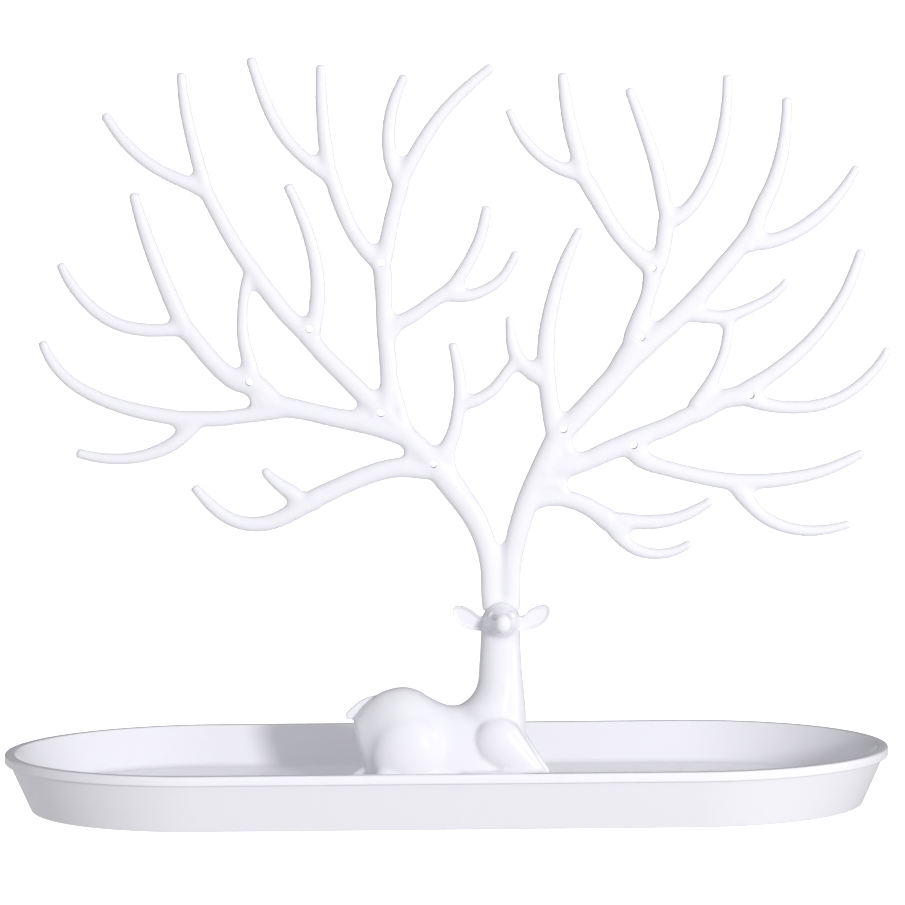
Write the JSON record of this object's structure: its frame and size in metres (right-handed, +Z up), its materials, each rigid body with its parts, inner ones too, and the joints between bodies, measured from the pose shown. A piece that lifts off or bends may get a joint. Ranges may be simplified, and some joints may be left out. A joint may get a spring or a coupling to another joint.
{
  "type": "jewelry tree",
  "caption": "Jewellery stand: a lying deer in a shallow oval tray carries a flat, many-tined antler crown that hangs necklaces, rings and earrings and lifts out of the head.",
  "frame": {"origin": "middle of the tray's foot, on the surface that it stands on", "axes": "+X along the tray, +Y away from the deer's face, +Z up"},
  "size_m": [0.3017, 0.137, 0.2539],
  "materials": {
    "white_plastic": "gloss white moulded ABS",
    "screw_steel": "bright zinc on steel"
  },
  "bodies": {
    "base": {"tray": "white_plastic", "deer_front_shell": "white_plastic", "deer_rear_shell": "white_plastic", "deer_screws": "screw_steel"},
    "antlers": {"antler_crown": "white_plastic"}
  },
  "joints": [
    {"name": "antler_lift", "type": "slide", "parent": "base", "child": "antlers", "axis": [0, 0, 1], "range_m": [0, 0.02]}
  ]
}
